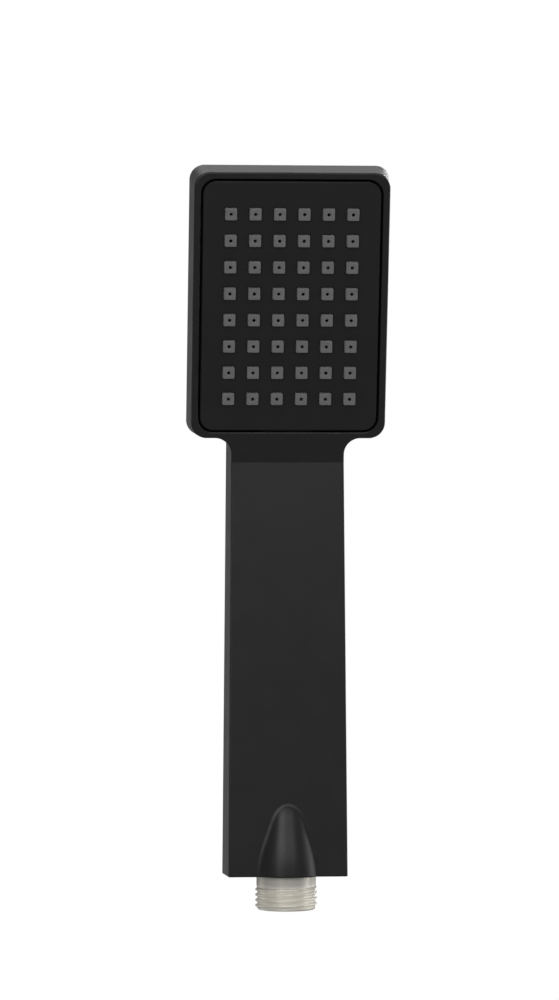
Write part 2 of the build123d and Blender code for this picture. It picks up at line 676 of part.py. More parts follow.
# ---------------------------------------------------------------- round-to-flat adapter
with BuildPart() as inlet_adapter:
    with BuildSketch(Plane.XY.offset(ADAPTER_LOW_Z)):
        Circle(SHANK_RADIUS)
    extrude(amount=ADAPTER_FLANGE_Z - ADAPTER_LOW_Z)
    with BuildSketch(Plane.XY.offset(ADAPTER_FLANGE_Z)):
        SlotOverall(ADAPTER_WIDTH, ADAPTER_THICK)
    extrude(amount=ADAPTER_TOP_Z - ADAPTER_FLANGE_Z)
    with BuildSketch(Plane.XY.offset(ADAPTER_GROOVE_LOW_Z)):
        Circle(SHANK_RADIUS)
        Circle(ADAPTER_GROOVE_ROOT, mode=Mode.SUBTRACT)
    extrude(amount=ADAPTER_GROOVE_TOP_Z - ADAPTER_GROOVE_LOW_Z, mode=Mode.SUBTRACT)
    # Bore: round below, then as flat as the duct, then the duct's socket
    with BuildSketch(Plane.XY.offset(ADAPTER_LOW_Z)) as bore_low:
        Circle(OUTLET_RADIUS)
    with BuildSketch(Plane.XY.offset(DUCT_LOW_Z - FACE_SEAL)) as bore_high:
        SlotOverall(DUCT_WIDTH - 2 * DUCT_WALL, DUCT_THICK - 2 * DUCT_WALL)
    loft(mode=Mode.SUBTRACT)
    with BuildSketch(Plane.XY.offset(DUCT_LOW_Z - FACE_SEAL)):
        SlotOverall(DUCT_WIDTH + 2 * SOCKET_GAP, DUCT_THICK + 2 * SOCKET_GAP)
    extrude(amount=ADAPTER_TOP_Z - DUCT_LOW_Z + FACE_SEAL, mode=Mode.SUBTRACT)
inlet_adapter.part.label = "inlet_adapter"
export_step(inlet_adapter.part, "parts/inlet_adapter.step")

adapter_seal = o_ring(
    ADAPTER_GROOVE_ROOT, COLLAR_BORE, ADAPTER_GROOVE_LOW_Z, ADAPTER_GROOVE_TOP_Z
)
adapter_seal.part.label = "adapter_seal"
export_step(adapter_seal.part, "parts/adapter_seal.step")


# ---------------------------------------------------------------- inlet connector
flank = (THREAD_RADIUS - THREAD_ROOT) * tan(radians(FLANK_ANGLE))
neck_start = LAST_CREST + CREST_FLAT / 2 + flank * (THREAD_RADIUS - NECK_RADIUS) / (
    THREAD_RADIUS - THREAD_ROOT
)
lead_top = LAST_CREST - CRESTS * THREAD_PITCH + CREST_FLAT / 2

thread_outline = [
    (MOUTH_RADIUS + MOUTH_BEVEL, 0),
    (LEAD_IN_RADIUS, 0),
    (THREAD_RADIUS, LEAD_IN),
    (THREAD_RADIUS, lead_top),
    (THREAD_ROOT, lead_top + flank),
]
for turn in reversed(range(CRESTS)):
    crest = LAST_CREST - turn * THREAD_PITCH
    thread_outline += [
        (THREAD_ROOT, crest - CREST_FLAT / 2 - flank),
        (THREAD_RADIUS, crest - CREST_FLAT / 2),
        (THREAD_RADIUS, crest + CREST_FLAT / 2),
    ]
    if turn:
        thread_outline.append((THREAD_ROOT, crest + CREST_FLAT / 2 + flank))
shank_outline = [
    (NECK_RADIUS, neck_start),
    (NECK_RADIUS, SHANK_LOW_Z),
    (SHANK_RADIUS, SHANK_LOW_Z),
    (SHANK_RADIUS, KNURL_LOW_Z),
    (KNURL_RADIUS, KNURL_LOW_Z),
    (KNURL_RADIUS, KNURL_TOP_Z),
    (SHANK_RADIUS, KNURL_TOP_Z),
    (SHANK_RADIUS, CONNECTOR_GROOVE_LOW_Z),
    (CONNECTOR_GROOVE_ROOT, CONNECTOR_GROOVE_LOW_Z),
    (CONNECTOR_GROOVE_ROOT, CONNECTOR_GROOVE_TOP_Z),
    (SHANK_RADIUS, CONNECTOR_GROOVE_TOP_Z),
    (SHANK_RADIUS, SHANK_TOP_Z),
]
bore_outline = [
    (OUTLET_RADIUS, SHANK_TOP_Z),
    (OUTLET_RADIUS, CARTRIDGE_TOP_Z),
    (CARTRIDGE_BORE, CARTRIDGE_TOP_Z),
    (CARTRIDGE_BORE, MOUTH_TOP_Z),
    (MOUTH_RADIUS, MOUTH_TOP_Z),
    (MOUTH_RADIUS, MOUTH_BEVEL),
]

with BuildPart() as inlet_connector:
    with BuildSketch(Plane.XZ):
        with BuildLine():
            Polyline(*thread_outline, *shank_outline, *bore_outline, close=True)
        make_face()
    revolve(axis=Axis.Z)
inlet_connector.part.label = "inlet_connector"
export_step(inlet_connector.part, "parts/inlet_connector.step")

connector_seal = o_ring(
    CONNECTOR_GROOVE_ROOT, COLLAR_BORE, CONNECTOR_GROOVE_LOW_Z, CONNECTOR_GROOVE_TOP_Z
)
connector_seal.part.label = "connector_seal"
export_step(connector_seal.part, "parts/connector_seal.step")


# ---------------------------------------------------------------- inlet strainer
with BuildPart() as filter_frame:
    with BuildSketch(Plane.XY.offset(STRAINER_LOW_Z)):
        Circle(STRAINER_RADIUS)
        Circle(STRAINER_INNER, mode=Mode.SUBTRACT)
    extrude(amount=STRAINER_TOP_Z - STRAINER_LOW_Z)
filter_frame.part.label = "filter_frame"
export_step(filter_frame.part, "parts/filter_frame.step")

mesh_reach = STRAINER_INNER - MESH_HOLE
mesh_count = int(mesh_reach // MESH_PITCH)
mesh_steps = [i * MESH_PITCH for i in range(-mesh_count, mesh_count + 1)]
mesh_places = [(x, y) for x in mesh_steps for y in mesh_steps if hypot(x, y) < mesh_reach]
with BuildPart() as filter_mesh:
    with BuildSketch(Plane.XY.offset(MESH_LOW_Z)):
        Circle(STRAINER_INNER)
        with Locations(mesh_places):
            Rectangle(MESH_HOLE, MESH_HOLE, mode=Mode.SUBTRACT)
    extrude(amount=MESH_THICK)
filter_mesh.part.label = "filter_mesh"
export_step(filter_mesh.part, "parts/filter_mesh.step")


# ---------------------------------------------------------------- flow limiter
with BuildPart() as regulator_body:
    with BuildSketch(Plane.XY.offset(LIMITER_LOW_Z)):
        Circle(LIMITER_RADIUS)
    extrude(amount=LIMITER_TOP_Z - LIMITER_LOW_Z)
    with BuildSketch(Plane.XY.offset(LIMITER_LOW_Z)):
        Circle(LIMITER_GROOVE_OUT)
        Circle(LIMITER_GROOVE_IN, mode=Mode.SUBTRACT)
    extrude(amount=LIMITER_FLOOR_Z - LIMITER_LOW_Z, mode=Mode.SUBTRACT)
    with BuildSketch(Plane.XY.offset(LIMITER_FLOOR_Z)):
        with PolarLocations((LIMITER_GROOVE_IN + LIMITER_GROOVE_OUT) / 2, LIMITER_PORTS):
            Circle(LIMITER_PORT_RADIUS)
    extrude(amount=LIMITER_TOP_Z - LIMITER_FLOOR_Z, mode=Mode.SUBTRACT)
regulator_body.part.label = "regulator_body"
export_step(regulator_body.part, "parts/regulator_body.step")

with BuildPart() as regulator_ring:
    with Locations((0, 0, LIMITER_FLOOR_Z - RING_SECTION - RING_EASE)):
        Torus(RING_RADIUS, RING_SECTION)
regulator_ring.part.label = "regulator_ring"
export_step(regulator_ring.part, "parts/regulator_ring.step")


# ---------------------------------------------------------------- backflow preventer
with BuildPart() as check_valve_body:
    with BuildSketch(Plane.XZ):
        with BuildLine():
            Polyline(
                (SEAT_RADIUS, VALVE_LOW_Z),
                (VALVE_RADIUS, VALVE_LOW_Z),
                (VALVE_RADIUS, VALVE_GROOVE_LOW_Z),
                (VALVE_GROOVE_ROOT, VALVE_GROOVE_LOW_Z),
                (VALVE_GROOVE_ROOT, VALVE_GROOVE_TOP_Z),
                (VALVE_RADIUS, VALVE_GROOVE_TOP_Z),
                (VALVE_RADIUS, VALVE_TOP_Z),
                (CHAMBER_RADIUS, VALVE_TOP_Z),
                (CHAMBER_RADIUS, SEAT_Z),
                (SEAT_RADIUS, SEAT_Z),
                close=True,
            )
        make_face()
    revolve(axis=Axis.Z)
check_valve_body.part.label = "check_valve_body"
export_step(check_valve_body.part, "parts/check_valve_body.step")

cartridge_seal = o_ring(
    VALVE_GROOVE_ROOT, CARTRIDGE_BORE, VALVE_GROOVE_LOW_Z, VALVE_GROOVE_TOP_Z
)
cartridge_seal.part.label = "cartridge_seal"
export_step(cartridge_seal.part, "parts/cartridge_seal.step")

with BuildPart() as check_valve_poppet:
    with BuildSketch(Plane.XZ):
        with BuildLine():
            Polyline(
                (0, NOSE_LOW_Z),
                (POPPET_NOSE - NOSE_BEVEL_IN, NOSE_LOW_Z),
                (POPPET_NOSE, NOSE_LOW_Z + NOSE_BEVEL_UP),
                (POPPET_NOSE, POPPET_FACE_Z),
                (POPPET_RADIUS, POPPET_FACE_Z),
                (POPPET_RADIUS, POPPET_BACK_Z),
                (STEM_RADIUS, POPPET_BACK_Z),
                (STEM_RADIUS, STEM_TOP_Z),
                (0, STEM_TOP_Z),
                close=True,
            )
        make_face()
    revolve(axis=Axis.Z)
check_valve_poppet.part.label = "check_valve_poppet"
export_step(check_valve_poppet.part, "parts/check_valve_poppet.step")

with BuildPart() as poppet_seal:
    with BuildSketch(Plane.XY.offset(SEAT_Z + RING_EASE)):
        Circle(POPPET_RADIUS)
        Circle(POPPET_NOSE + RING_EASE, mode=Mode.SUBTRACT)
    extrude(amount=POPPET_FACE_Z - SEAT_Z - 2 * RING_EASE)
poppet_seal.part.label = "poppet_seal"
export_step(poppet_seal.part, "parts/poppet_seal.step")

with BuildPart() as check_valve_guide:
    with BuildSketch(Plane.XY.offset(GUIDE_LOW_Z)):
        Circle(CHAMBER_RADIUS - RING_EASE)
        Circle(CHAMBER_RADIUS - GUIDE_WALL, mode=Mode.SUBTRACT)
        Circle(GUIDE_BORE + GUIDE_WALL)
        Rectangle(2 * CHAMBER_RADIUS - GUIDE_WALL, GUIDE_SPOKE)
        Rectangle(GUIDE_SPOKE, 2 * CHAMBER_RADIUS - GUIDE_WALL)
        Circle(GUIDE_BORE, mode=Mode.SUBTRACT)
    extrude(amount=GUIDE_TOP_Z - GUIDE_LOW_Z)
check_valve_guide.part.label = "check_valve_guide"
export_step(check_valve_guide.part, "parts/check_valve_guide.step")

spring_low = POPPET_BACK_Z + SPRING_WIRE + RING_EASE
spring_height = GUIDE_LOW_Z - POPPET_BACK_Z - 2 * (SPRING_WIRE + RING_EASE)
with BuildPart() as check_valve_spring:
    with BuildLine():
        coil = Helix(
            spring_height / SPRING_TURNS, spring_height, SPRING_RADIUS, center=(0, 0, spring_low)
        )
    with BuildSketch(Plane(origin=coil @ 0, z_dir=coil % 0)):
        Circle(SPRING_WIRE)
    sweep()
check_valve_spring.part.label = "check_valve_spring"
export_step(check_valve_spring.part, "parts/check_valve_spring.step")
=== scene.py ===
import json
from math import atan2, cos, pi, radians, sin, sqrt

import bmesh
import bpy
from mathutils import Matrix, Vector


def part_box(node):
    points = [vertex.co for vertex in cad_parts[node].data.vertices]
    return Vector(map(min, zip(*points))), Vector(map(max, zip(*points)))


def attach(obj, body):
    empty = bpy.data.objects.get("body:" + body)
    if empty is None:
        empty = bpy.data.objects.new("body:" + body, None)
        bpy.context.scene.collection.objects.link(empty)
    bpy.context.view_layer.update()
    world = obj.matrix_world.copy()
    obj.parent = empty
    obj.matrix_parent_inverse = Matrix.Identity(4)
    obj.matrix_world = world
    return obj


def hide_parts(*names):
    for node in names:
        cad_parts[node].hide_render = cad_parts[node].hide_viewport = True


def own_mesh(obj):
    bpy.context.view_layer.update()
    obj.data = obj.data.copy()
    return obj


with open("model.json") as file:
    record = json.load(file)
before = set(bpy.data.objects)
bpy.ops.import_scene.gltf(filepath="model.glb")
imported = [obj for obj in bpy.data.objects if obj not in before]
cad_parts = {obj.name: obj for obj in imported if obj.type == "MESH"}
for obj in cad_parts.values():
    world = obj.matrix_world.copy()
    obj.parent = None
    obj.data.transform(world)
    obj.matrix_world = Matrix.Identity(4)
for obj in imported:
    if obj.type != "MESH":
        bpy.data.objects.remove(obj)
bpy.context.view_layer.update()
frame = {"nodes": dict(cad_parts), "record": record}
record = frame["record"]
nodes = frame["nodes"]
scene = bpy.context.scene

# Lengths are in millimetres, and MM turns them into metres. The spray side faces -Y, and +Z runs
# up the handle from the inlet's end face.
MM = 0.001
TILT = radians(12.0)  # how far the spray head leans forward


# ---------------------------------------------------------------- materials
GRAIN_SHARE = 0.35  # weight of the fine grain beside the broad clouds
CLOUDS_FROM, CLOUDS_TO = 0.45, 0.9  # sum of both where the first and the second look are pure
EDGE_FROM, EDGE_TO = 0.52, 0.62  # pointiness of the surface, from plain to an edge
FADE_BELOW, FADE_ABOVE = 0.6, 0.9  # reach of the painted shade's fade, below and above its height
SCATTER_DEPTH = 0.6
BUMP_STRENGTH = 0.5
WAVE_RATE = 20  # radians per unit in Blender's wave texture
MIX_A, MIX_B, MIX_RESULT = 6, 7, 2  # the colour sockets of a Mix node


def add(tree, kind, **sockets):
    """A new shader node with sockets set by name; an underscore stands for a space."""
    node = tree.nodes.new("ShaderNode" + kind)
    for socket, value in sockets.items():
        node.inputs[socket.replace("_", " ")].default_value = value
    return node


def colour_mix(tree, factor, first, second):
    """A mix of two colours, each of them an RGB value or the output of another node."""
    mix = add(tree, "Mix")
    mix.data_type = "RGBA"
    tree.links.new(factor, mix.inputs[0])
    for place, colour in ((MIX_A, first), (MIX_B, second)):
        if isinstance(colour, tuple):
            mix.inputs[place].default_value = (*colour, 1)
        else:
            tree.links.new(colour, mix.inputs[place])
    return mix.outputs[MIX_RESULT]


def clouds_and_grain(tree, where, cloud_mm, grain_mm):
    """Broad clouds with some fine grain in them, from 0 to 1, and the grain alone."""
    cloud = add(tree, "TexNoise", Scale=1 / (cloud_mm * MM), Detail=3)
    grain = add(tree, "TexNoise", Scale=1 / (grain_mm * MM), Detail=4, Roughness=0.6)
    both = add(tree, "Math")
    both.operation = "MULTIPLY_ADD"
    both.inputs[1].default_value = GRAIN_SHARE
    for noise, place in ((grain, 0), (cloud, 2)):
        tree.links.new(where, noise.inputs["Vector"])
        tree.links.new(noise.outputs["Fac"], both.inputs[place])
    spread = add(tree, "MapRange", From_Min=CLOUDS_FROM, From_Max=CLOUDS_TO)
    tree.links.new(both.outputs[0], spread.inputs["Value"])
    return spread.outputs["Result"], grain.outputs["Fac"]


def worn_edges(tree, paint, worn, wear):
    """The paint with a rubbed colour along convex edges."""
    surface = add(tree, "NewGeometry")
    edge = add(tree, "MapRange", From_Min=EDGE_FROM, From_Max=EDGE_TO, To_Max=wear)
    tree.links.new(surface.outputs["Pointiness"], edge.inputs["Value"])
    return colour_mix(tree, edge.outputs["Result"], paint, worn)


def painted_shade_above(tree, where, paint, above_mm, share):
    """The paint, darkened to a share of itself above a height: painted shade and painted reflection."""
    split = add(tree, "SeparateXYZ")
    tree.links.new(where, split.inputs[0])
    level = add(
        tree, "MapRange",
        From_Min=(above_mm - FADE_BELOW) * MM, From_Max=(above_mm + FADE_ABOVE) * MM,
        To_Min=1.0, To_Max=share,
    )
    level.interpolation_type = "SMOOTHSTEP"
    tree.links.new(split.outputs["Z"], level.inputs["Value"])
    dim = add(tree, "VectorMath")
    dim.operation = "SCALE"
    tree.links.new(paint, dim.inputs[0])
    tree.links.new(level.outputs["Result"], dim.inputs["Scale"])
    return dim.outputs["Vector"]


def brushed_lines(tree, where, lines_mm):
    """Slightly wavy lines across the height, 2 pi * lines_mm apart."""
    lines = add(tree, "TexWave", Scale=1 / (lines_mm * MM * WAVE_RATE), Distortion=1.5, Detail=3)
    lines.bands_direction = "Z"
    tree.links.new(where, lines.inputs["Vector"])
    return lines.outputs["Fac"]


def finish_of(
    slot, colours, roughness, grain_mm, cloud_mm, bump_mm,
    metallic=0.0, specular=0.5, sheen=0.0, subsurface=0.0,
    worn=None, wear=0.0, lines_mm=None, painted_shade_above_mm=None, painted_shade_share=1.0,
):
    """A procedural finish that drifts in clouds between two colours and two roughnesses."""
    material = bpy.data.materials.new(slot)
    material.use_nodes = True
    tree = material.node_tree
    shader = tree.nodes["Principled BSDF"]
    shader.inputs["Metallic"].default_value = metallic
    shader.inputs["Specular IOR Level"].default_value = specular
    shader.inputs["Sheen Weight"].default_value = sheen
    shader.inputs["Subsurface Weight"].default_value = subsurface
    shader.inputs["Subsurface Scale"].default_value = SCATTER_DEPTH * MM

    where = add(tree, "TexCoord").outputs["Object"]
    clouds, grain = clouds_and_grain(tree, where, cloud_mm, grain_mm)
    paint = colour_mix(tree, clouds, *colours)
    if worn:
        paint = worn_edges(tree, paint, worn, wear)
    # Painted shade: the colour darkens above a height, standing in for shade and a dark reflection
    if painted_shade_above_mm:
        paint = painted_shade_above(tree, where, paint, painted_shade_above_mm, painted_shade_share)
    tree.links.new(paint, shader.inputs["Base Color"])

    gloss = add(tree, "MapRange", To_Min=roughness[0], To_Max=roughness[1])
    tree.links.new(clouds, gloss.inputs["Value"])
    tree.links.new(gloss.outputs["Result"], shader.inputs["Roughness"])

    relief = brushed_lines(tree, where, lines_mm) if lines_mm else grain
    bump = add(tree, "Bump", Distance=bump_mm * MM, Strength=BUMP_STRENGTH)
    tree.links.new(relief, bump.inputs["Height"])
    tree.links.new(bump.outputs["Normal"], shader.inputs["Normal"])
    return material


looks = {
    "black_abs": dict(
        colours=((0.0050, 0.0050, 0.0053), (0.0062, 0.0062, 0.0064)), roughness=(0.33, 0.39),
        grain_mm=0.22, cloud_mm=9.0, bump_mm=0.004, worn=(0.012, 0.012, 0.012), wear=0.5,
    ),
    "black_plate": dict(
        colours=((0.0046, 0.0046, 0.0048), (0.0058, 0.0058, 0.0060)), roughness=(0.44, 0.50),
        grain_mm=0.18, cloud_mm=11.0, bump_mm=0.005, specular=0.42,
    ),
    "grey_silicone": dict(
        colours=((0.170, 0.170, 0.170), (0.195, 0.195, 0.194)), roughness=(0.55, 0.66),
        grain_mm=0.35, cloud_mm=2.0, bump_mm=0.008, specular=0.4, sheen=0.15, subsurface=0.05,
    ),
    "nickel": dict(
        colours=((0.95, 0.92, 0.83), (0.89, 0.86, 0.77)), roughness=(0.36, 0.48),
        # painted shade and painted dark reflection of the black boss on the neck above the thread
        grain_mm=0.25, cloud_mm=1.6, bump_mm=0.006, metallic=0.5, painted_shade_above_mm=8.2, painted_shade_share=0.70,
    ),
    "white_pom": dict(
        colours=((0.74, 0.74, 0.71), (0.68, 0.68, 0.65)), roughness=(0.38, 0.48),
        grain_mm=0.3, cloud_mm=3.0, bump_mm=0.006, subsurface=0.08,
    ),
    "grey_abs": dict(
        colours=((0.25, 0.25, 0.26), (0.21, 0.21, 0.22)), roughness=(0.42, 0.52),
        grain_mm=0.3, cloud_mm=6.0, bump_mm=0.01,
    ),
    "epdm": dict(
        colours=((0.018, 0.018, 0.018), (0.028, 0.028, 0.027)), roughness=(0.55, 0.70),
        grain_mm=0.25, cloud_mm=2.0, bump_mm=0.01, specular=0.35, sheen=0.1,
    ),
    "red_silicone": dict(
        colours=((0.35, 0.05, 0.03), (0.28, 0.035, 0.022)), roughness=(0.45, 0.58),
        grain_mm=0.25, cloud_mm=1.5, bump_mm=0.008, subsurface=0.05,
    ),
    "stainless": dict(
        colours=((0.56, 0.56, 0.57), (0.48, 0.48, 0.49)), roughness=(0.25, 0.36),
        grain_mm=0.12, cloud_mm=1.2, bump_mm=0.004, metallic=1.0, lines_mm=0.05,
    ),
}
finishes = {slot: finish_of(slot, **look) for slot, look in looks.items()}
slot_of = {part["node"]: part["material_slot"] for part in record["subparts"]}
for name, node in nodes.items():
    node.data.materials.clear()
    node.data.materials.append(finishes[slot_of[name]])


# ---------------------------------------------------------------- meshes
class Shape:
    """Points in millimetres and the faces between them, gathered ring by ring."""

    def __init__(self):
        self.points, self.faces = [], []

    def ring(self, places):
        """Adds the points of a ring, and gives their numbers."""
        first = len(self.points)
        self.points.extend(places)
        return list(range(first, len(self.points)))

    def bridge(self, rings):
        """Adds quads between each ring and the next, all with the same number of points."""
        for a, b in zip(rings, rings[1:]):
            for i in range(len(a)):
                k = (i + 1) % len(a)
                self.faces.append((a[i], a[k], b[k], b[i]))

    def tube(self, path, radius, sides):
        """Adds a round wire along a path, closed at both ends."""
        rings = []
        for i, middle in enumerate(path):
            ahead = path[min(i + 1, len(path) - 1)] - path[max(i - 1, 0)]
            turn = ahead.to_track_quat("Z", "Y")
            angles = [2 * pi * side / sides for side in range(sides)]
            rings.append(self.ring(
                middle + turn @ Vector((radius * cos(a), radius * sin(a), 0)) for a in angles
            ))
        self.bridge(rings)
        self.faces.append(tuple(reversed(rings[0])))
        self.faces.append(tuple(rings[-1]))

    def mesh(self, name, weld):
        """The closed mesh with outward normals, points nearer than weld made one."""
        work = bmesh.new()
        corners = [work.verts.new(Vector(point) * MM) for point in self.points]
        for face in self.faces:
            work.faces.new([corners[i] for i in face])
        bmesh.ops.remove_doubles(work, verts=work.verts, dist=weld * MM)
        bmesh.ops.dissolve_degenerate(work, edges=work.edges, dist=weld * MM)
        bmesh.ops.recalc_face_normals(work, faces=work.faces)
        if work.calc_volume(signed=True) < 0:
            bmesh.ops.reverse_faces(work, faces=work.faces)
        mesh = bpy.data.meshes.new(name)
        work.to_mesh(mesh)
        work.free()
        return mesh


def piece(name, mesh, body, *stands_for, smooth_below=None):
    """Puts a finished mesh into the scene as a piece that rides on a CAD body in place of CAD nodes."""
    slot = slot_of[stands_for[0]]
    thing = bpy.data.objects.new(name, mesh)
    scene.collection.objects.link(thing)
    mesh.materials.append(finishes[slot])
    for face in mesh.polygons:
        face.use_smooth = True
    if smooth_below is not None:
        mesh.set_sharp_from_angle(angle=radians(smooth_below))
    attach(thing, body)
    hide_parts(*stands_for)
    return thing


# ---------------------------------------------------------------- silicone mat with 48 nozzles
COLUMNS, ROWS = 6, 8
PITCH_ACROSS, PITCH_UP = 8.18, 8.94
MAT_HALF_WIDTH, MAT_HALF_HEIGHT, MAT_THICK = 23.9, 35.0, 1.2
MAT_CORNER, MAT_CHAMFER = 2.0, 0.15
NOZZLE_TIP = MAT_THICK + 3.5  # like all heights here, from the mat's back
STEPS = 8  # points along each side of a nozzle's cell
MAT_WELD = 0.001

# Outside of a nozzle from its foot to the flat of its tip: half width, corner radius, height
NOZZLE_OUTSIDE = (
    (2.25, 0.45, MAT_THICK),
    (2.10, 0.35, MAT_THICK + 0.06),
    (2.05, 0.28, MAT_THICK + 0.24),
    (1.960, 0.25, NOZZLE_TIP - 0.28),
    (1.945, 0.25, NOZZLE_TIP - 0.16),
    (1.905, 0.24, NOZZLE_TIP - 0.06),
    (1.845, 0.22, NOZZLE_TIP - 0.01),
    (1.760, 0.20, NOZZLE_TIP),
    (1.300, 0.18, NOZZLE_TIP),
)
# Bore of a nozzle from its rounded mouth to the wide entry at the back: radius, height
NOZZLE_BORE = (
    (0.74, NOZZLE_TIP),
    (0.67, NOZZLE_TIP - 0.02),
    (0.60, NOZZLE_TIP - 0.08),
    (0.56, NOZZLE_TIP - 0.18),
    (0.52, 2.7),
    (0.62, 2.5),
    (1.05, 2.0),
    (1.10, 1.8),
    (1.10, 0.0),
)


def rectangle(half_width, half_height, across=STEPS, up=STEPS):
    """Even steps round a rectangle's edge, anticlockwise from its lower left corner."""
    ring = []
    for side in range(4):
        count = up if side % 2 else across
        half_along, half_off = (half_height, half_width) if side % 2 else (half_width, half_height)
        for i in range(count):
            x, y = -half_along + 2 * half_along * i / count, -half_off
            for _ in range(side):
                x, y = -y, x
            ring.append((x, y))
    return ring


def rounded(edge, half_width, half_height, corner):
    """The points of a rectangle's edge, drawn in to rounded corners."""
    ring = []
    for x, y in edge:
        cx = max(-half_width + corner, min(half_width - corner, x))
        cy = max(-half_height + corner, min(half_height - corner, y))
        out = Vector((x - cx, y - cy))
        if out.length > 1e-9:
            out = out.normalized() * corner
        ring.append((cx + out.x, cy + out.y))
    return ring


def circle_like(radius, edge):
    """Points of a circle in the directions of an edge's points."""
    angles = [atan2(y, x) for x, y in edge]
    return [(radius * cos(a), radius * sin(a)) for a in angles]


def spray_nozzles():
    """One mat with a hollow square nozzle in the middle of each cell of a grid."""
    # The back's lower edge has the node's highest y, and its upper edge the highest z
    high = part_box("nozzle_mat")[1]
    middle = Vector((
        0,
        high.y / MM - MAT_HALF_HEIGHT * sin(TILT),
        high.z / MM - MAT_HALF_HEIGHT * cos(TILT),
    ))
    up_the_mat = Vector((0, -sin(TILT), cos(TILT)))
    out_of_mat = Vector((0, -cos(TILT), -sin(TILT)))
    shape = Shape()

    def ring(flat, height, x=0.0, up=0.0):
        return shape.ring(
            middle + Vector((x + px, 0, 0)) + up_the_mat * (up + py) + out_of_mat * height
            for px, py in flat
        )

    cell = rectangle(PITCH_ACROSS / 2, PITCH_UP / 2)
    square = rectangle(1, 1)
    for column in range(COLUMNS):
        for row in range(ROWS):
            x = (column - (COLUMNS - 1) / 2) * PITCH_ACROSS
            up = (row - (ROWS - 1) / 2) * PITCH_UP
            rings = [ring(cell, MAT_THICK, x, up)]
            for half, corner, height in NOZZLE_OUTSIDE:
                rings.append(ring(rounded(rectangle(half, half), half, half, corner), height, x, up))
            for radius, height in NOZZLE_BORE:
                rings.append(ring(circle_like(radius, square), height, x, up))
            rings.append(ring(cell, 0, x, up))
            shape.bridge(rings)

    grid_half_width, grid_half_height = COLUMNS * PITCH_ACROSS / 2, ROWS * PITCH_UP / 2
    grid = rectangle(grid_half_width, grid_half_height, COLUMNS * STEPS, ROWS * STEPS)

    def outline(inset):
        half_width, half_height = MAT_HALF_WIDTH - inset, MAT_HALF_HEIGHT - inset
        stretched = [
            (x / grid_half_width * half_width, y / grid_half_height * half_height) for x, y in grid
        ]
        return rounded(stretched, half_width, half_height, MAT_CORNER - inset)

    shape.bridge([
        ring(grid, MAT_THICK),
        ring(outline(MAT_CHAMFER), MAT_THICK),
        ring(outline(0), MAT_THICK - MAT_CHAMFER),
        ring(outline(0), MAT_CHAMFER),
        ring(outline(MAT_CHAMFER), 0),
        ring(grid, 0),
    ])
    piece("spray_nozzles", shape.mesh("spray_nozzles", MAT_WELD), "handset", "nozzle_mat", smooth_below=38)


spray_nozzles()

# ---------------------------------------------------------------- inlet connector with its true thread
# Radii and heights from the inlet's end face
THREAD_PITCH, CREST, ROOT = 1.814, 10.4775, 9.72
CREST_HEIGHT = 0.42  # of a crest on the +X side
CREST_SHARE, ROOT_SHARE = 0.16, 0.84  # where a flank starts and ends, on the way from crest to root
FLANK_ROUNDING = 0.45
LEAD_IN_RADIUS, LEAD_IN_HEIGHT = 9.4, 0.9
RUN_OUT_LOW, RUN_OUT_HEIGHT, THREAD_END = 7.0, 1.2, 8.35
NECK, NECK_LOW, NECK_HIGH, NECK_CHAMFER = 10.05, 8.9, 13.0, 0.15
SHANK, SHANK_END, SHANK_CHAMFER = 8.8, 25.0, 0.3
KNURL_LOW, KNURL_HIGH, KNURL_RISE = 14.0, 18.0, 0.15
GROOVE, GROOVE_LOW, GROOVE_HIGH, GROOVE_CHAMFER = 7.35, 19.4, 21.6, 0.1
OUTLET_BORE, OUTLET_CHAMFER = 5.2, 0.2
CARTRIDGE_BORE, CARTRIDGE_LOW, CARTRIDGE_HIGH = 6.4, 8.4, 21.2
MOUTH_BORE, MOUTH_ROUNDING = 7.2, 0.5
AROUND, PER_PITCH = 192, 14  # points round a circle, and rings along each pitch
THREAD_WELD = 0.002


def clamp(share):
    return min(1.0, max(0.0, share))


def smooth(share):
    """The share from 0 to 1, eased in and out."""
    return clamp(share) ** 2 * (3 - 2 * clamp(share))


def thread_radius(turns):
    """Radius over one pitch, with a crest at every whole turn and rounded flanks."""
    from_crest = abs((turns + 0.5) % 1.0 - 0.5) * 2
    share = clamp((from_crest - CREST_SHARE) / (ROOT_SHARE - CREST_SHARE))
    eased = smooth(share) * FLANK_ROUNDING + share * (1 - FLANK_ROUNDING)
    return CREST - (CREST - ROOT) * eased


def wall_radius(z, turns):
    """The thread under its lead-in cone, running out into the plain neck."""
    cone = LEAD_IN_RADIUS + (CREST - LEAD_IN_RADIUS) * clamp(z / LEAD_IN_HEIGHT)
    thread = min(thread_radius(turns), cone)
    return thread + (NECK - thread) * smooth((z - RUN_OUT_LOW) / RUN_OUT_HEIGHT)


def around(radii, heights):
    """AROUND points, each with its own radius and height."""
    angles = [2 * pi * j / AROUND for j in range(AROUND)]
    return [(r * cos(a), r * sin(a), z) for r, a, z in zip(radii, angles, heights)]


def add_thread(shape):
    """Adds rings that climb by one pitch a turn, cut flat at both ends; gives first and last."""
    count = (int(THREAD_END / THREAD_PITCH) + 3) * PER_PITCH
    rings = []
    for k in range(count + 1):
        turns = k / PER_PITCH - 1 - CREST_HEIGHT / THREAD_PITCH
        climb = [THREAD_PITCH * (k / PER_PITCH + j / AROUND - 1) for j in range(AROUND)]
        heights = [min(THREAD_END, max(0.0, z)) for z in climb]
        radii = [wall_radius(z, turns) for z in heights]
        rings.append(shape.ring(around(radii, heights)))

    # A full turn ends where the ring one pitch further on begins
    ends = [rings[min(k + PER_PITCH, count)][0] for k in range(count + 1)]
    for k in range(count):
        low, high = rings[k], rings[k + 1]
        for j in range(AROUND - 1):
            shape.faces.append((low[j], low[j + 1], high[j + 1], high[j]))
        meeting = (ends[k], ends[k + 1]) if ends[k] != ends[k + 1] else (ends[k],)
        shape.faces.append((low[-1], *meeting, high[-1]))
    return rings[0], rings[-1]


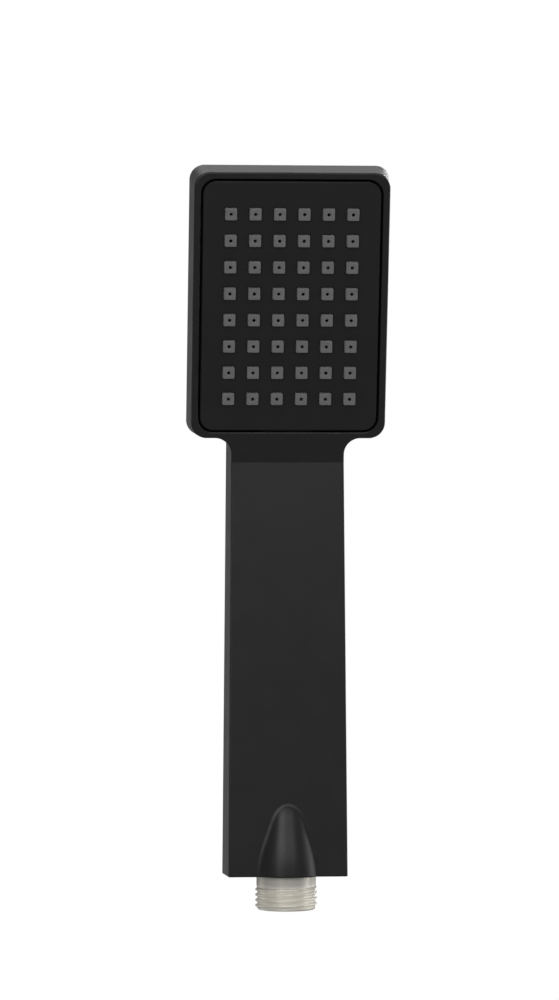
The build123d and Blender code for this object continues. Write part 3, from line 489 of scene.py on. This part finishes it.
def hose_connector():
    """The nipple: thread, neck, knurled shank with an O-ring groove, and a stepped bore."""
    profile = (
        (NECK, NECK_LOW),
        (NECK, NECK_HIGH - NECK_CHAMFER),
        (NECK - NECK_CHAMFER, NECK_HIGH),
        (SHANK, NECK_HIGH),
        (SHANK, KNURL_LOW),
        (SHANK, KNURL_LOW + KNURL_RISE, KNURL_RISE),
        (SHANK, KNURL_HIGH - KNURL_RISE, KNURL_RISE),
        (SHANK, KNURL_HIGH),
        (SHANK, GROOVE_LOW - GROOVE_CHAMFER),
        (SHANK - GROOVE_CHAMFER, GROOVE_LOW),
        (GROOVE, GROOVE_LOW),
        (GROOVE, GROOVE_HIGH),
        (SHANK - GROOVE_CHAMFER, GROOVE_HIGH),
        (SHANK, GROOVE_HIGH + GROOVE_CHAMFER),
        (SHANK, SHANK_END - SHANK_CHAMFER),
        (SHANK - SHANK_CHAMFER, SHANK_END),
        (OUTLET_BORE + OUTLET_CHAMFER, SHANK_END),
        (OUTLET_BORE, SHANK_END - OUTLET_CHAMFER),
        (OUTLET_BORE, CARTRIDGE_HIGH),
        (CARTRIDGE_BORE, CARTRIDGE_HIGH),
        (CARTRIDGE_BORE, CARTRIDGE_LOW),
        (MOUTH_BORE, CARTRIDGE_LOW),
        (MOUTH_BORE, MOUTH_ROUNDING),
        (MOUTH_BORE + 0.2 * MOUTH_ROUNDING, 0.56 * MOUTH_ROUNDING),
        (MOUTH_BORE + MOUTH_ROUNDING, 0.0),
    )
    shape = Shape()
    first, last = add_thread(shape)
    rings = []
    for radius, z, *ridge in profile:
        rise = ridge[0] if ridge else 0.0
        radii = [radius + (rise if j % 3 else 0.0) for j in range(AROUND)]  # ridges, two points in three
        rings.append(shape.ring(around(radii, [z] * AROUND)))
    shape.bridge([last, *rings, first])
    piece(
        "hose_connector", shape.mesh("hose_connector", THREAD_WELD), "handset", "inlet_connector",
        smooth_below=35,
    )


hose_connector()

# ---------------------------------------------------------------- woven strainer
WIRE_WELD = 1e-6  # keeps crossing wires apart
WEAVE_WIRE, WEAVE_PITCH, WEAVE_SWING = 0.075, 0.5, 0.07
WEAVE_CLEARANCE, SHORTEST_HALF_WIRE = 0.02, 1.0


def strainer_weave():
    """A round of plain weave, its wires passing over and under each other in turn."""
    low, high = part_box("filter_mesh")
    height = (low.z + high.z) / 2 / MM
    reach = high.x / MM - WEAVE_CLEARANCE
    wires = int(reach / WEAVE_PITCH)
    shape = Shape()
    for i in range(-wires, wires + 1):
        off = i * WEAVE_PITCH
        half = sqrt(reach**2 - off**2)
        if half < SHORTEST_HALF_WIRE:
            continue
        steps = max(2, round(2 * half / (WEAVE_PITCH / 4)))
        for first_over in (1, -1):
            path = []
            for s in range(steps + 1):
                along = -half + 2 * half * s / steps
                z = height + WEAVE_SWING * cos(pi * (along / WEAVE_PITCH + i)) * first_over
                path.append(Vector((along, off, z) if first_over == 1 else (off, along, z)))
            shape.tube(path, WEAVE_WIRE, sides=6)
    piece("strainer_weave", shape.mesh("strainer_weave", WIRE_WELD), "handset", "filter_mesh")


strainer_weave()

# ---------------------------------------------------------------- valve spring
SPRING_WIRE = 0.2
SPRING_CLEARANCE = 0.004  # by which the visible wire is thinner
CLOSED_COILS, OPEN_COILS = 0.85, 3.2  # closed ones at each end
CLOSED_PITCH = 2 * SPRING_WIRE * 1.02  # the closed coils almost touch
PER_COIL = 36


def spring_path(bottom, top, radius):
    """The wire's middle line, close wound at both ends and open between them."""
    coils = CLOSED_COILS + OPEN_COILS + CLOSED_COILS
    closed = CLOSED_COILS * CLOSED_PITCH
    path = []
    for s in range(int(coils * PER_COIL) + 1):
        t = s / PER_COIL
        if t < CLOSED_COILS:
            z = bottom + CLOSED_PITCH * t
        elif t > CLOSED_COILS + OPEN_COILS:
            z = top - CLOSED_PITCH * (coils - t)
        else:
            z = bottom + closed + (top - bottom - 2 * closed) * (t - CLOSED_COILS) / OPEN_COILS
        path.append(Vector((radius * cos(2 * pi * t), radius * sin(2 * pi * t), z)))
    return path


def valve_spring():
    """The coil spring, close wound at both ends, with a mesh of its own."""
    low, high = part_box("check_valve_spring")
    shape = Shape()
    path = spring_path(low.z / MM + SPRING_WIRE, high.z / MM - SPRING_WIRE, high.x / MM - SPRING_WIRE)
    shape.tube(path, SPRING_WIRE - SPRING_CLEARANCE, sides=12)
    spring = piece("valve_spring", shape.mesh("valve_spring", WIRE_WELD), "handset", "check_valve_spring")
    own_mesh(spring)


valve_spring()

# ---------------------------------------------------------------- studio, in metres
WHITE = (1, 1, 1, 1)
FLOOR_REACH, FLOOR_HEIGHT = 40, -3.5
ROOM_LIGHT = 0.285
LIGHT_AIM = (0, 0, 0.13)
# Azimuth and elevation in degrees, distance, width, height, watts. Azimuth 0 is the spray side, 90 is +X
LIGHTS = {
    "key_left": (-27, 17, 1.8, 0.4, 0.9, 3.6),
    "key": (-12, 20, 1.8, 0.5, 0.7, 2.4),
    "front_right": (15, 19, 1.8, 0.7, 0.7, 2.6),
    "right": (88, 8, 1.4, 0.6, 1.2, 4.8),
    "right_rim": (125, 0, 1.4, 0.4, 1.0, 2.0),
    "top": (180, 60, 1.4, 1.4, 1.0, 6.4),
    "left_rim": (-118, 0, 1.4, 0.3, 0.8, 1.0),
    "overhead": (0, 68, 1.8, 0.9, 0.6, 4.0),
    "back_right": (166, 15, 1.4, 0.3, 0.35, 3.2),
}
CAMERA_PLACE, CAMERA_AIM = (-0.12864, -1.448, 0.1458), (-0.0029, -0.0075, 0.1386)
CAMERA_LENS, CAMERA_SENSOR, CAMERA_NEAR = 154.52, 36.0, 0.05


def point_at(thing, place, aim):
    """Puts a light or camera in its place and turns it to its aim."""
    thing.location = place
    thing.rotation_mode = "QUATERNION"
    thing.rotation_quaternion = (Vector(place) - Vector(aim)).to_track_quat("Z", "Y")
    scene.collection.objects.link(thing)


def pale_floor():
    """A white sheet far below the object, which casts nothing back onto it."""
    mesh = bpy.data.meshes.new("studio_floor")
    r = FLOOR_REACH
    mesh.from_pydata([(-r, -r, 0), (r, -r, 0), (r, r, 0), (-r, r, 0)], [], [(0, 1, 2, 3)])
    floor = bpy.data.objects.new("studio_floor", mesh)
    floor.location.z = FLOOR_HEIGHT
    scene.collection.objects.link(floor)
    paper = bpy.data.materials.new("white_paper")
    paper.use_nodes = True
    shader = paper.node_tree.nodes["Principled BSDF"]
    shader.inputs["Base Color"].default_value = (0.9, 0.9, 0.9, 1)
    shader.inputs["Roughness"].default_value = 0.9
    shader.inputs["Emission Color"].default_value = WHITE
    shader.inputs["Emission Strength"].default_value = 0.75
    mesh.materials.append(paper)
    floor.visible_glossy = False
    floor.visible_diffuse = False


def white_room():
    """A white backdrop, and a dimmer even light on the object."""
    world = bpy.data.worlds.new("studio")
    scene.world = world
    world.use_nodes = True
    tree = world.node_tree
    tree.nodes.clear()
    output = add(tree, "OutputWorld")
    backdrop = add(tree, "Background", Color=WHITE)
    room = add(tree, "Background", Color=WHITE, Strength=ROOM_LIGHT)
    ray = add(tree, "LightPath")
    pick = add(tree, "MixShader")
    tree.links.new(ray.outputs["Is Camera Ray"], pick.inputs["Fac"])
    tree.links.new(room.outputs[0], pick.inputs[1])
    tree.links.new(backdrop.outputs[0], pick.inputs[2])
    tree.links.new(pick.outputs[0], output.inputs["Surface"])


def softbox(name, azimuth, elevation, distance, width, height, watts):
    """A rectangular area light that faces the object."""
    a, e = radians(azimuth), radians(elevation)
    back = Vector((sin(a) * cos(e), -cos(a) * cos(e), sin(e)))
    light = bpy.data.lights.new(name, "AREA")
    light.shape = "RECTANGLE"
    light.size, light.size_y = width, height
    light.energy = watts
    point_at(bpy.data.objects.new(name, light), Vector(LIGHT_AIM) + back * distance, LIGHT_AIM)


def place_camera():
    """A long lens from the front, a little to the left."""
    lens = bpy.data.cameras.new("camera")
    lens.lens = CAMERA_LENS
    lens.sensor_width = CAMERA_SENSOR
    lens.clip_start = CAMERA_NEAR
    camera = bpy.data.objects.new("camera", lens)
    point_at(camera, CAMERA_PLACE, CAMERA_AIM)
    scene.camera = camera


pale_floor()
white_room()
for name, setting in LIGHTS.items():
    softbox(name, *setting)
place_camera()
scene.view_settings.view_transform = "Standard"
